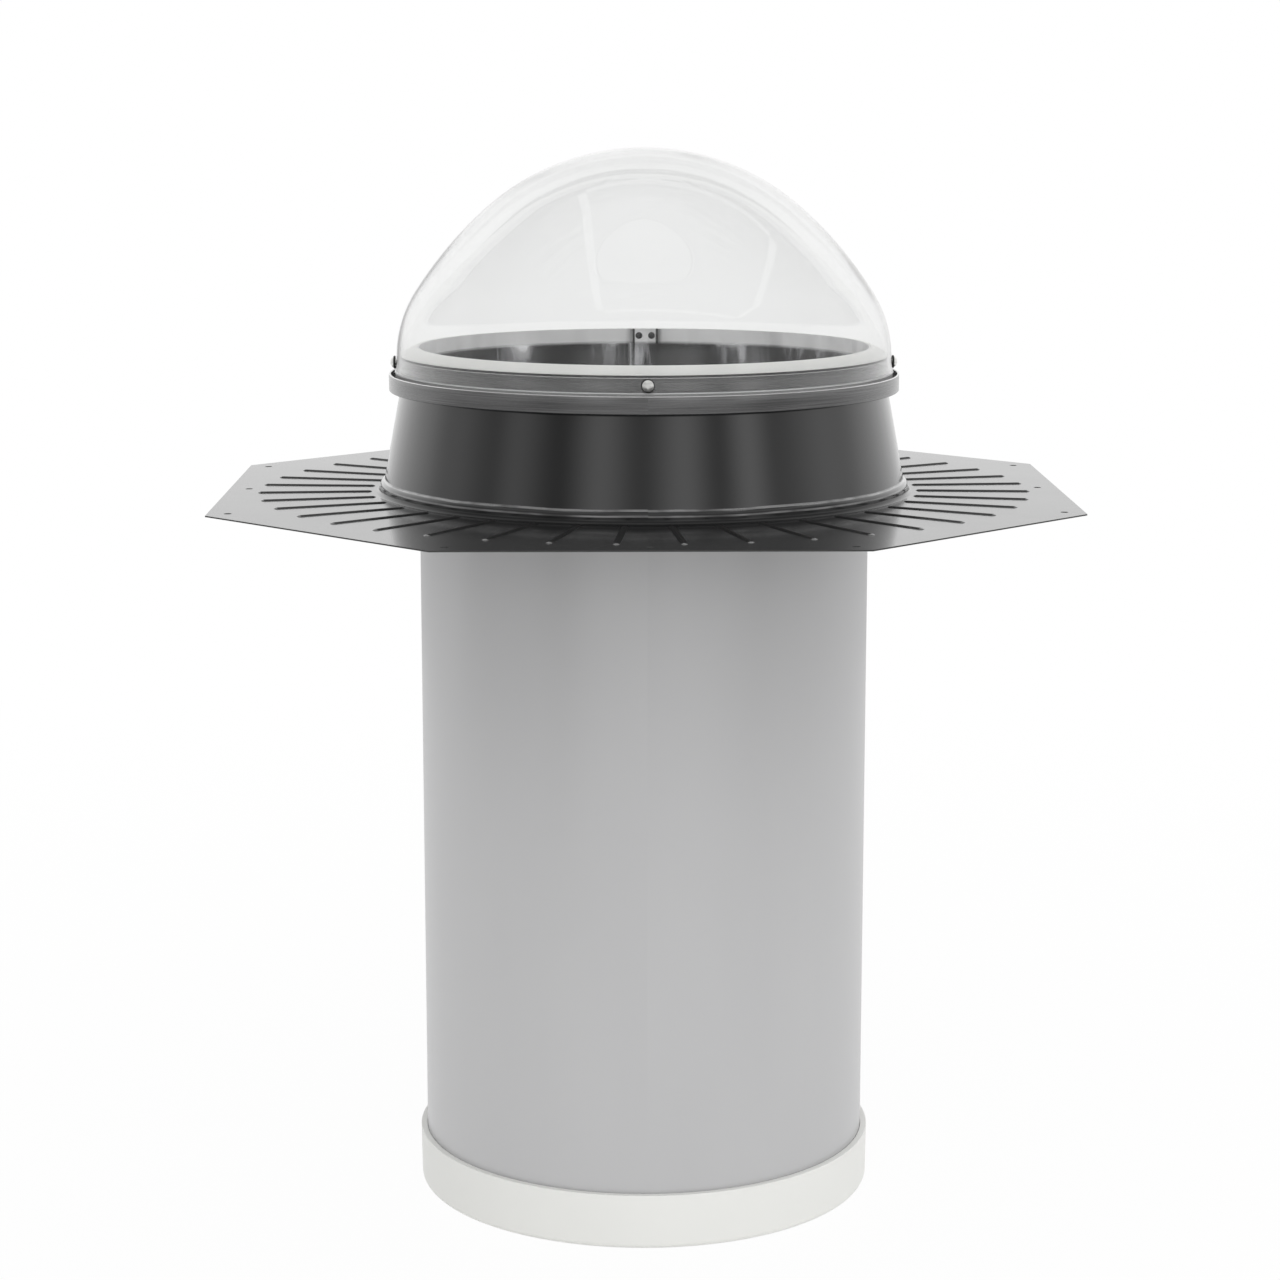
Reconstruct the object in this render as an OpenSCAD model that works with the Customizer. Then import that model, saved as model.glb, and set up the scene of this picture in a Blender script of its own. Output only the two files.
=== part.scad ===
// Tubular skylight: a clear dome on a black roof flashing, with a mirror-lined light tube
// that ends in a white ceiling ring and its diffuser.
// The object stands on its ceiling ring, with the tube's axis upright along Z and the front at -Y.

/* [Light tube] */
// Outside diameter of the light tube
tube_d = 330; // [280:1:380]
// Length of the light tube
tube_len = 609.6; // [400:0.1:900]
// Thickness of the rolled tube sheet
tube_wall = 0.8; // [0.5:0.1:1.2]
// Width of the overlap along the rear seam
seam_lap = 18; // [16:1:28]
// How far the seam lies to the right of the rear centre line
seam_shift = 3.4; // [0:0.1:10]
// Width of the foil tape over the seam
seam_tape_w = 48; // [30:1:60]
// Thickness of the foil tape
seam_tape_t = 0.2; // [0.1:0.05:0.2]

/* [Ceiling ring] */
// Height of the ceiling ring
ceiling_ring_h = 40.5; // [36:0.5:60]
// Wall of the ceiling ring beside the tube
ceiling_ring_wall = 4.5; // [3.5:0.1:8]
// How much narrower the ring's radius is at its foot than at its top
ceiling_ring_draft = 0.5; // [0:0.1:1]
// Rounding of the ring's bottom outer edge
ceiling_ring_round = 4.5; // [1:0.5:4.5]
// Height of the ledge that the tube stands on
tube_seat_h = 20.9; // [20:0.1:24]
// Width of the ledge that the tube stands on
tube_seat_w = 3; // [2:0.5:5]
// Thickness of the lip under the diffuser
lens_lip_t = 3; // [2:0.5:4]
// How far the lip reaches in under the diffuser
lens_lip_w = 6.3; // [4:0.1:12]

/* [Diffuser] */
// Thickness of the prismatic diffuser pane
lens_t = 3; // [2:0.5:4]
// Thickness of the clear upper pane
upper_lens_t = 2.5; // [2:0.5:3]
// Thickness of the foam gasket under the diffuser pane
lens_gasket_t = 1.5; // [1:0.5:2]
// Height of the air gap between the two panes
pane_gap = 5; // [3:0.5:6]
// Width of the spacer that parts the two panes
spacer_w = 5; // [3:0.5:8]
// Wire diameter of the retaining ring over the panes
retainer_d = 2.5; // [1.5:0.5:3]
// Gap between the two ends of the retaining ring, in degrees
retainer_gap = 8; // [4:1:20]

/* [Roof flashing] */
// Size of the flange across its flat sides
flange_size = 610; // [580:1:660]
// Length of each of the four long edges of the flange
flange_edge = 284; // [280:1:340]
// Thickness of the flashing's sheet
sheet_t = 1; // [0.8:0.1:1.5]
// Height of the turret from the flange's top face to its rim
turret_h = 98.2; // [80:0.1:160]
// Lean of the turret's side from the vertical, in degrees
turret_lean = 10.6; // [6:0.1:12]
// Height of the turret's rolled foot, up to the middle of its upper turn
foot_h = 10.3; // [9:0.1:14]
// Radius of the hollow turn above the foot's roll
foot_turn_r = 1.6; // [1.2:0.1:2]
// Radius of the roll around the turret's foot
foot_roll_r = 4.2; // [3:0.1:5]
// Slope of the ledge on top of the roll, in degrees
foot_ledge = 66; // [55:1:80]
// Radius of the hollow turn between the roll and the flange
foot_fillet_r = 3.5; // [1.5:0.1:4]
// Height of the upright neck at the top of the turret
neck_h = 25.5; // [22:0.5:32]
// Width of the shoulder below the neck
shoulder_w = 2.3; // [1.5:0.1:4]
// Free gap between the light tube and the inside of the neck
neck_gap = 10.1; // [9:0.1:20]

/* [Pressed beads] */
// Number of beads pressed up in the flange
bead_count = 40; // [24:4:44]
// Length of each bead
bead_len = 83.4; // [40:0.1:85]
// Width of each bead at its foot
bead_w = 5.4; // [5:0.1:7]
// Height of each bead above the flange
bead_rise = 0.9; // [0.9:0.1:2]
// Gap between the turret's foot and the inner ends of the beads
bead_start_gap = 2.4; // [0.5:0.1:4]

/* [Fixing holes] */
// Diameter of the holes for the roof screws
fix_hole_d = 5.5; // [4:0.5:8]
// Distance of the holes from the flange's edge
fix_hole_inset = 14.5; // [12:0.5:16]
// Distance of the outer holes from the middle of each side
fix_hole_spread = 132.5; // [110:0.5:134]

/* [Dome ring] */
// Thickness of the ring's inner wall
ring_wall_t = 1.4; // [1:0.1:2]
// Thickness of the gutter's floor
gutter_floor_t = 1.5; // [1:0.1:2.5]
// Thickness of the outer lip of the gutter
gutter_lip_t = 1.5; // [1:0.1:2.5]
// Height of the outer lip above the bottom of the ring
gutter_lip_h = 12.4; // [8:0.1:16]
// Free gap between the dome's skirt and the lip
gutter_gap = 2.7; // [1:0.1:5]
// Rounding of the gutter's bottom outer edge
gutter_round = 1.4; // [0.4:0.1:1.4]
// Thickness of the gasket between the ring and the turret's shoulder
ring_gasket_t = 1.2; // [0.8:0.1:2]
// Height of the pile seal that the dome's skirt stands on
weather_seal_h = 12; // [6:0.5:13]
// Thickness of the pile seal
weather_seal_t = 3.6; // [2:0.1:3.8]

/* [Dome] */
// Thickness of the dome
dome_t = 2.4; // [2:0.1:3]
// Height of the flared part of the skirt
skirt_h = 10.1; // [8:0.1:16]
// How far the skirt flares out at its bottom edge
skirt_flare = 1.6; // [0.6:0.1:2.5]
// Radius of the dome's shoulder
dome_shoulder_r = 86.7; // [60:0.1:110]
// Angle at which the shoulder passes into the flank, in degrees
dome_shoulder_end = 32.7; // [25:0.1:38]
// Radius of the dome's flank
dome_flank_r = 288; // [200:1:400]
// Angle at which the flank passes into the crown, in degrees
dome_flank_end = 48.7; // [42:0.1:56]

/* [Tube ring] */
// Thickness of the foam seal under the tube ring
rim_seal_t = 1.5; // [1:0.1:3]
// Height of the tube ring above its foam seal
tube_ring_rise = 5.7; // [4.5:0.1:7]
// Height of the tube ring's outer edge
tube_ring_edge = 1; // [0.6:0.1:1.5]
// Wall of the tube ring
tube_ring_wall = 2; // [1.4:0.1:2.6]
// Length of the leg that grips the tube, below the ring's top
tube_ring_leg = 21.6; // [14:0.1:30]
// Depth of the tube's rim below the top of the tube ring
rim_drop = 0.1; // [0:0.1:1]

/* [Fasteners] */
// Number of dome screws
dome_screw_count = 4; // [3:1:8]
// Depth of the dome screws below the top of the turret's neck
dome_screw_drop = 5.1; // [4.9:0.1:6]
// Thread diameter of the dome screws
dome_screw_d = 4; // [3:0.5:4]
// Head diameter of the dome screws
dome_head_d = 8; // [6:0.5:8]
// Head height of the dome screws
dome_head_h = 2.4; // [1.8:0.1:3]
// Thread length of the dome screws
dome_screw_len = 12.7; // [10:0.1:13]
// Diameter of the rubber washers
washer_d = 9.4; // [9:0.1:9.5]
// Thickness of the rubber washers
washer_t = 1.4; // [1:0.1:2]
// Shank diameter of the rivets at the rim
rivet_d = 3.2; // [2.4:0.1:3.4]
// Head diameter of the rivets
rivet_head_d = 5.4; // [5:0.1:6]
// Distance between the two rivets
rivet_spacing = 10; // [8:0.5:12]
// Depth of the rivets below the top of the tube
rivet_drop = 5.4; // [5:0.1:8]
// Number of screws that hold the ceiling ring to the tube
ring_screw_count = 4; // [3:1:8]
// Thread diameter of the ceiling ring's screws
ring_screw_d = 3; // [2:0.5:3.5]
// Head diameter of the ceiling ring's screws
ring_screw_head_d = 6; // [5:0.5:7]
// Depth of the ceiling ring's screws below its top
ring_screw_drop = 9.5; // [8:0.5:12]

/* [Clearances] */
// Gap between the tube and the rings that fit over it
tube_fit = 0.25; // [0.1:0.05:0.5]
// Gap between the turret's neck and the dome ring
neck_fit = 0.3; // [0.1:0.05:0.5]
// Gap between the dome ring and the dome's skirt
dome_fit = 0.2; // [0.1:0.05:0.5]
// Gap around the panes in the ceiling ring
lens_fit = 0.3; // [0.1:0.05:0.5]
// Gap between a screw or rivet and its hole
hole_fit = 0.1; // [0.05:0.05:0.2]
// Gap between a fastener's flat head and the curved wall that it sits on
head_fit = 0.08; // [0.05:0.01:0.2]
// Thickness of the glue film under the tape and the pile seal
glue_t = 0.05; // [0.02:0.01:0.15]

/* [Hidden] */
$fn = 96;
arc_steps = 14;
small_round = 0.5;
front = -90;
rear = 90;

tube_r = tube_d / 2;
tube_in_r = tube_r - tube_wall;
tube_top = tube_seat_h + tube_len;

// Radii outwards from the tube, each from the one inside it
ring_bore_r = tube_r + tube_fit;
neck_r = tube_r + neck_gap + sheet_t;
ring_in_r = neck_r + neck_fit;
ring_wall_r = ring_in_r + ring_wall_t;
dome_in_r = ring_wall_r + dome_fit;
dome_r = dome_in_r + dome_t;
skirt_r = dome_r + skirt_flare;
lip_in_r = skirt_r + gutter_gap;
lip_r = lip_in_r + gutter_lip_t;
shoulder_r = neck_r + shoulder_w;

// Heights downwards from the top of the tube ring
ring_top = tube_top + rim_drop;
rim_seal_top = ring_top - tube_ring_rise;
neck_top = rim_seal_top - rim_seal_t;
shoulder_z = neck_top - neck_h;
gutter_z = shoulder_z + ring_gasket_t;
gutter_floor_z = gutter_z + gutter_floor_t;
skirt_z = gutter_floor_z + weather_seal_h;
shoulder_start_z = skirt_z + skirt_h;
flange_z = neck_top - turret_h;
screw_z = neck_top - dome_screw_drop;
rivet_z = tube_top - rivet_drop;

// The turret's side is the line r * cos(lean) + z * sin(lean) = side_k
side_k = shoulder_r * cos(turret_lean) + shoulder_z * sin(turret_lean);
upper_turn_z = flange_z + foot_h;
upper_turn_r = (side_k + foot_turn_r - upper_turn_z * sin(turret_lean)) / cos(turret_lean);
roll_c = [upper_turn_r, upper_turn_z] - (foot_turn_r + foot_roll_r) * [cos(foot_ledge), sin(foot_ledge)];
foot_r = roll_c[0] + foot_roll_r + foot_fillet_r;
flange_overlap = 3;
bead_from = foot_r + bead_start_gap;
// The bead is the top of a round bar whose axis lies below the flange
bead_r = (pow(bead_w / 2, 2) + pow(bead_rise, 2)) / (2 * bead_rise);
bead_axis_z = flange_z + bead_rise - bead_r;

// The dome's skirt flares out on a hollow curve
flare_r = (pow(skirt_h, 2) + pow(skirt_flare, 2)) / (2 * skirt_flare);
shoulder_c = [dome_r - dome_shoulder_r, shoulder_start_z];
flank_c = shoulder_c + (dome_shoulder_r - dome_flank_r) * [cos(dome_shoulder_end), sin(dome_shoulder_end)];
crown_r = dome_flank_r + flank_c[0] / cos(dome_flank_end);
crown_c = [0, flank_c[1] + (dome_flank_r - crown_r) * sin(dome_flank_end)];

// Stack of panes in the ceiling ring, upwards
pocket_r = ring_bore_r - tube_seat_w;
pane_r = pocket_r - lens_fit;
lip_bore_r = pocket_r - lens_lip_w;
lens_z = lens_lip_t + lens_gasket_t;
spacer_z = lens_z + lens_t;
upper_lens_z = spacer_z + pane_gap;
retainer_z = upper_lens_z + upper_lens_t + retainer_d / 2;
retainer_r = pocket_r - retainer_d / 7;
ring_screw_z = ceiling_ring_h - ring_screw_drop;

// Points along a round stretch of an outline
function arc(centre, r, from, to) =
    [for (i = [0:arc_steps]) let (a = from + (to - from) * i / arc_steps) centre + r * [cos(a), sin(a)]];
function reversed(points) = [for (i = [len(points) - 1:-1:0]) points[i]];

// Section line of the dome, depth d below its outer face, from the skirt up to the top
function dome_line(d) = concat(
    arc([dome_r + flare_r, shoulder_start_z], flare_r + d, 180 + asin(skirt_h / (flare_r + d)), 180),
    arc(shoulder_c, dome_shoulder_r - d, 0, dome_shoulder_end),
    arc(flank_c, dome_flank_r - d, dome_shoulder_end, dome_flank_end),
    arc(crown_c, crown_r - d, dome_flank_end, 90));

// Section line of the turret, depth d below its outer face, from the rim down to the flange
function turret_line(d) = concat(
    [[neck_r - d, neck_top], [neck_r - d, shoulder_z - d],
     [(side_k - d - (shoulder_z - d) * sin(turret_lean)) / cos(turret_lean), shoulder_z - d]],
    arc([upper_turn_r, upper_turn_z], foot_turn_r + d, 180 + turret_lean, 180 + foot_ledge),
    arc(roll_c, foot_roll_r - d, foot_ledge, 0),
    arc([foot_r, flange_z + foot_fillet_r], foot_fillet_r + d, 180, 270),
    [[foot_r + flange_overlap, flange_z - d]]);

module round_row(count, start = 0) {
    for (i = [0:count - 1]) rotate(start + i * 360 / count) children();
}

// Lays a shape that was drawn along +Z out along the radius at height z
module radial(z, r) {
    translate([0, 0, z]) rotate([0, 90, 0]) translate([0, 0, r]) children();
}

module ring_shape(r_in, r_out, z, h) {
    translate([0, 0, z]) difference() {
        cylinder(r = r_out, h = h);
        translate([0, 0, -1]) cylinder(r = r_in, h = h + 2);
    }
}

module dome_holes(d, r_from, r_to) {
    round_row(dome_screw_count, front) radial(screw_z, r_from) cylinder(d = d, h = r_to - r_from);
}

module rivet_row() {
    for (side = [-1, 1])
        rotate(rear - (seam_shift + side * rivet_spacing / 2) / tube_r * 180 / PI) children();
}

module dome() {
    color([0.93, 0.95, 0.95, 0.45]) difference() {
        rotate_extrude($fn = 180) polygon(concat(dome_line(0), reversed(dome_line(dome_t))));
        dome_holes(dome_screw_d + 2 * hole_fit, ring_wall_r, skirt_r + washer_t);
    }
}

washer_seat_r = dome_r + skirt_flare * pow((shoulder_start_z - screw_z + washer_d / 2) / skirt_h, 2);

module dome_screws() {
    cap_r = (pow(dome_head_d / 2, 2) + pow(dome_head_h, 2)) / (2 * dome_head_h);
    seat = washer_seat_r + washer_t;
    color([0.82, 0.82, 0.8]) round_row(dome_screw_count, front) radial(screw_z, seat) difference() {
        union() {
            intersection() {
                translate([0, 0, dome_head_h - cap_r]) sphere(r = cap_r);
                cylinder(d = dome_head_d, h = dome_head_h);
            }
            translate([0, 0, 1 - dome_screw_len]) cylinder(d = dome_screw_d, h = dome_screw_len);
            translate([0, 0, -1 - dome_screw_len])
                cylinder(d1 = dome_screw_d / 3, d2 = dome_screw_d, h = 2);
        }
        for (turn = [0, 90]) rotate(turn)
            translate([-dome_head_d / 4, -dome_head_d / 16, dome_head_h / 2])
                cube([dome_head_d / 2, dome_head_d / 8, dome_head_h]);
    }
}

module screw_washers() {
    edge = washer_t / 2;
    color([0.06, 0.06, 0.06]) round_row(dome_screw_count, front) radial(screw_z, washer_seat_r)
        rotate_extrude() polygon(concat(
            [[dome_screw_d / 2 + hole_fit, 0], [washer_d / 2, 0]],
            arc([washer_d / 2 - edge, washer_t - edge], edge, 0, 90),
            [[dome_screw_d / 2 + hole_fit, washer_t]]));
}

module dome_ring() {
    color([0.4, 0.4, 0.39]) difference() {
        rotate_extrude($fn = 180) polygon(concat(
            [[ring_in_r, gutter_z]],
            arc([lip_r - gutter_round, gutter_z + gutter_round], gutter_round, -90, 0),
            arc([lip_r - small_round, gutter_z + gutter_lip_h - small_round], small_round, 0, 90),
            [[lip_in_r, gutter_z + gutter_lip_h], [lip_in_r, gutter_floor_z],
             [ring_wall_r, gutter_floor_z]],
            arc([ring_wall_r - small_round, neck_top - small_round], small_round, 0, 90),
            [[ring_in_r, neck_top]]));
        dome_holes(dome_screw_d + 2 * hole_fit, neck_r, dome_in_r);
    }
}

module weather_seal() {
    color([0.2, 0.2, 0.2])
        ring_shape(ring_wall_r + glue_t, ring_wall_r + weather_seal_t, gutter_floor_z, weather_seal_h);
}

module ring_gasket() {
    color([0.1, 0.1, 0.1]) ring_shape(ring_in_r, shoulder_r - neck_fit, shoulder_z, ring_gasket_t);
}

module rim_seal() {
    color([0.1, 0.1, 0.1]) ring_shape(neck_r - sheet_t, ring_wall_r - dome_fit, neck_top, rim_seal_t);
}

// White ring that carries the tube on the turret: a gripping leg and a sloping brim
module tube_ring() {
    brim_r = ring_wall_r - dome_fit;
    leg_r = ring_bore_r + tube_ring_wall;
    slope = atan2(tube_ring_rise - tube_ring_edge, brim_r - leg_r);
    under_r = leg_r + (tube_ring_rise - tube_ring_wall / cos(slope)) / tan(slope);
    color([0.9, 0.9, 0.89]) difference() {
        rotate_extrude($fn = 180) polygon(concat(
            [[ring_bore_r, ring_top - tube_ring_leg], [leg_r, ring_top - tube_ring_leg],
             [leg_r, ring_top - tube_ring_wall / cos(slope)], [min(under_r, brim_r - 1), rim_seal_top],
             [brim_r, rim_seal_top], [brim_r, rim_seal_top + tube_ring_edge]],
            arc([leg_r, ring_top - tube_ring_wall], tube_ring_wall, 90 - slope, 90),
            [[ring_bore_r, ring_top]]));
        rivet_row() radial(rivet_z, tube_r) cylinder(d = rivet_d + 2 * hole_fit, h = neck_gap / 2);
    }
}

module rim_rivets() {
    head_h = rivet_head_d / 5;
    inner = tube_in_r - tube_wall - head_fit;
    outer = ring_bore_r + tube_ring_wall + head_fit;
    cap_r = (pow(rivet_head_d / 2, 2) + pow(head_h, 2)) / (2 * head_h);
    color([0.25, 0.25, 0.25]) rivet_row() {
        radial(rivet_z, inner) intersection() {
            translate([0, 0, cap_r - head_h]) sphere(r = cap_r);
            translate([0, 0, -head_h]) cylinder(d = rivet_head_d, h = head_h);
        }
        radial(rivet_z, inner - head_h / 4) cylinder(d = rivet_d, h = outer - inner + head_h / 2);
        radial(rivet_z, outer) cylinder(d1 = rivet_head_d - 0.4, d2 = rivet_d, h = head_h);
    }
}

module flange_outline() {
    half = flange_size / 2;
    edge = flange_edge / 2;
    polygon([for (turn = [0:90:270]) for (side = [-1, 1])
        [half * cos(turn) - side * edge * sin(turn), half * sin(turn) + side * edge * cos(turn)]]);
}

// Bars with round ends that lie along the radius; their tops are the beads
module bead_bars(r) {
    from = bead_from + bead_w / 2;
    to = bead_from + bead_len - bead_w / 2;
    round_row(bead_count, front + 180 / bead_count) radial(bead_axis_z, from) {
        cylinder(r = r, h = to - from, $fn = 48);
        sphere(r = r, $fn = 48);
        translate([0, 0, to - from]) sphere(r = r, $fn = 48);
    }
}

module roof_flashing() {
    hole_r = flange_size / 2 - fix_hole_inset;
    color([0.17, 0.17, 0.17]) difference() {
        union() {
            rotate_extrude($fn = 180) polygon(concat(turret_line(0), reversed(turret_line(sheet_t))));
            translate([0, 0, flange_z - sheet_t]) linear_extrude(sheet_t) difference() {
                flange_outline();
                circle(r = foot_r + flange_overlap / 2, $fn = 180);
            }
            intersection() {
                bead_bars(bead_r);
                translate([0, 0, flange_z - sheet_t / 2])
                    cylinder(r = flange_size / 2, h = bead_rise + sheet_t);
            }
        }
        bead_bars(bead_r - sheet_t);
        for (turn = [0:90:270]) rotate(turn) for (along = [-1, 0, 1])
            translate([hole_r, along * fix_hole_spread, flange_z - 2 * sheet_t])
                cylinder(d = fix_hole_d, h = 3 * sheet_t);
        dome_holes(dome_screw_d + 2 * hole_fit, neck_r - 2 * sheet_t, ring_in_r);
    }
}

// Rolled sheet whose one edge laps inside the other along the rear seam
module light_tube() {
    lap_angle = seam_lap / tube_r * 180 / PI;
    color([0.75, 0.75, 0.75]) difference() {
        union() {
            ring_shape(tube_in_r, tube_r, tube_seat_h, tube_len);
            rotate(rear - seam_shift / tube_r * 180 / PI - lap_angle / 2) rotate_extrude(angle = lap_angle)
                translate([tube_in_r - tube_wall, tube_seat_h]) square([1.5 * tube_wall, tube_len]);
        }
        rivet_row() radial(rivet_z, tube_in_r - 3 * tube_wall)
            cylinder(d = rivet_d + 2 * hole_fit, h = 6 * tube_wall);
        ring_screw_row() radial(ring_screw_z, tube_in_r - tube_wall)
            cylinder(d = ring_screw_d + 2 * hole_fit, h = 3 * tube_wall);
    }
}

module seam_tape() {
    tape_angle = seam_tape_w / tube_r * 180 / PI;
    from = ceiling_ring_h + 2;
    to = ring_top - tube_ring_leg - 2;
    color([0.8, 0.8, 0.8]) rotate(rear - seam_shift / tube_r * 180 / PI - tape_angle / 2)
        rotate_extrude(angle = tape_angle)
            translate([tube_r + glue_t, from]) square([seam_tape_t, to - from]);
}

module ring_screw_row() {
    round_row(ring_screw_count, front + 180 / ring_screw_count) children();
}

module ceiling_ring() {
    top_r = ring_bore_r + ceiling_ring_wall;
    foot_r = top_r - ceiling_ring_draft;
    color([0.91, 0.91, 0.89]) difference() {
        rotate_extrude($fn = 180) polygon(concat(
            [[lip_bore_r, 0]],
            arc([foot_r - ceiling_ring_round, ceiling_ring_round], ceiling_ring_round, -90, 0),
            arc([top_r - small_round, ceiling_ring_h - small_round], small_round, 0, 90),
            [[ring_bore_r, ceiling_ring_h], [ring_bore_r, tube_seat_h], [pocket_r, tube_seat_h],
             [pocket_r, lens_lip_t], [lip_bore_r, lens_lip_t]]));
        translate([0, 0, retainer_z]) rotate_extrude($fn = 180) translate([retainer_r, 0])
            circle(d = retainer_d + 2 * hole_fit, $fn = 32);
        ring_screw_row() radial(ring_screw_z, tube_r)
            cylinder(d = ring_screw_d + 2 * hole_fit, h = tube_fit + ceiling_ring_wall * 0.75);
    }
}

module ring_screws() {
    head_h = ring_screw_head_d / 4;
    inner = tube_in_r - head_fit;
    color([0.7, 0.7, 0.7]) ring_screw_row() {
        radial(ring_screw_z, inner - head_h)
            cylinder(d1 = ring_screw_head_d * 0.7, d2 = ring_screw_head_d, h = head_h);
        radial(ring_screw_z, inner - head_h / 2)
            cylinder(d = ring_screw_d, h = head_h / 2 + ring_bore_r - inner + ceiling_ring_wall * 0.7);
    }
}

module retaining_ring() {
    color([0.72, 0.72, 0.72]) translate([0, 0, retainer_z]) rotate(rear + retainer_gap / 2)
        rotate_extrude(angle = 360 - retainer_gap)
            translate([retainer_r, 0]) circle(d = retainer_d, $fn = 32);
}

module upper_pane() {
    color([0.93, 0.95, 0.95, 0.5]) translate([0, 0, upper_lens_z])
        cylinder(r = pane_r, h = upper_lens_t, $fn = 180);
}

module pane_spacer() {
    color([0.12, 0.12, 0.12]) ring_shape(pane_r - spacer_w, pane_r, spacer_z, pane_gap);
}

module diffuser_pane() {
    color([0.95, 0.95, 0.93]) translate([0, 0, lens_z]) cylinder(r = pane_r, h = lens_t, $fn = 180);
}

module pane_gasket() {
    color([0.15, 0.15, 0.15]) ring_shape(lip_bore_r + lens_fit, pane_r, lens_lip_t, lens_gasket_t);
}

dome();
dome_screws();
screw_washers();
dome_ring();
weather_seal();
ring_gasket();
rim_seal();
tube_ring();
rim_rivets();
roof_flashing();
light_tube();
seam_tape();
ceiling_ring();
ring_screws();
retaining_ring();
upper_pane();
pane_spacer();
diffuser_pane();
pane_gasket();
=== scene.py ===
# %% [markdown]
# # Tubular skylight
# A clear dome sits on a black roof flashing, and a silver tube brings the daylight down to a white
# ring in the ceiling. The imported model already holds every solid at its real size. This lesson
# gives each of them its finish, and spins smooth meshes for the two pieces whose reflections would
# show facets. All lengths are in metres, and MM turns a drawing's millimetres into them.

import math

import bmesh
import bpy
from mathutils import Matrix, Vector


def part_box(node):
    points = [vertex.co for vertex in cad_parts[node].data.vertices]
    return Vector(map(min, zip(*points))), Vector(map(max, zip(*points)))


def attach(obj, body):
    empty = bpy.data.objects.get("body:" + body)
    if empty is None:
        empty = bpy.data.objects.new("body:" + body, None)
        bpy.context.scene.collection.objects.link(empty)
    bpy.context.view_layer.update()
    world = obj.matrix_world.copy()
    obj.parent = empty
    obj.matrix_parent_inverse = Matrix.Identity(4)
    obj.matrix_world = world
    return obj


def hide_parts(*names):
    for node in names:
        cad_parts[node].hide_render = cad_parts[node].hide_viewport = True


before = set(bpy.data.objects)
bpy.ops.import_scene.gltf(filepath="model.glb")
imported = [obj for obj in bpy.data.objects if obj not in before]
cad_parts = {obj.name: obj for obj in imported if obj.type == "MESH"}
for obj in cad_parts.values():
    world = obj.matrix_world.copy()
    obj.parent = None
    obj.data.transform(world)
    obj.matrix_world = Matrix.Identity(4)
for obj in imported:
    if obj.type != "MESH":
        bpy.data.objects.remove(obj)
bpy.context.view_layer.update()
MM = 0.001

# %% [markdown]
# ## Camera
# The photograph was matched with a pinhole camera: it stands 2.2 m in front, a little above the
# dome's top, and looks down ten degrees. A long lens keeps the tube's sides almost parallel. Its
# place and line of sight are set as they were matched, because an aim at some point of the object
# would be a guess. The Standard view shows colours as they are written.

# %% Camera
CAMERA_PLACE = Vector((-0.0329, -2.2214, 0.8168))
CAMERA_LOOK = Vector((0.01327, 0.98366, -0.17952))
CAMERA_LENS = 85.37
SENSOR = 36


def make_camera():
    data = bpy.data.cameras.new("camera")
    data.lens = CAMERA_LENS
    data.sensor_width = SENSOR
    camera = bpy.data.objects.new("camera", data)
    camera.location = CAMERA_PLACE
    camera.rotation_mode = "QUATERNION"
    camera.rotation_quaternion = CAMERA_LOOK.to_track_quat("-Z", "Y")
    bpy.context.scene.collection.objects.link(camera)
    bpy.context.scene.camera = camera
    return camera


view_camera = make_camera()
bpy.context.scene.view_settings.view_transform = "Standard"
print("camera", [round(v, 3) for v in view_camera.location], "lens", CAMERA_LENS)

# %% [markdown]
# ## Shader maths
# A material is a network of nodes, and wiring it by hand hides what it computes. This small class
# wraps one socket, so that a sum or product of two sockets is written as Python writes it, and
# each expression adds its own Math node.


# %% A socket that can be added and multiplied
class Sock:
    def __init__(self, paint, socket):
        self.paint, self.socket = paint, socket

    def __add__(self, other):
        return self.paint.math("ADD", self, other)

    def __radd__(self, other):
        return self.paint.math("ADD", other, self)

    def __sub__(self, other):
        return self.paint.math("SUBTRACT", self, other)

    def __rsub__(self, other):
        return self.paint.math("SUBTRACT", other, self)

    def __mul__(self, other):
        return self.paint.math("MULTIPLY", self, other)

    def __rmul__(self, other):
        return self.paint.math("MULTIPLY", other, self)

    def __truediv__(self, other):
        return self.paint.math("DIVIDE", self, other)

    def smooth(self, low, high):
        """0 below low, 1 above high and a soft step between them."""
        return self.paint.add("ShaderNodeMapRange", {"interpolation_type": "SMOOTHSTEP"},
                              {"Value": self, "From Min": low, "From Max": high})["Result"]

    def band(self, start, rise, fall, end):
        """1 between rise and fall, 0 before start and after end, with soft steps."""
        return self.smooth(start, rise) * (1 - self.smooth(fall, end))


class Node:
    """A shader node whose outputs come out wrapped."""

    def __init__(self, paint, node):
        self.paint, self.node = paint, node

    def __getitem__(self, name):
        return Sock(self.paint, self.node.outputs[name])


print("sockets do sums")

# %% [markdown]
# The second class holds one node tree, of a material or of the world. Its method add makes any
# node: it sets the node's own settings first, and then gives each named input a value or a link.
# The other methods are the few combinations of nodes that every finish below needs.


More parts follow.
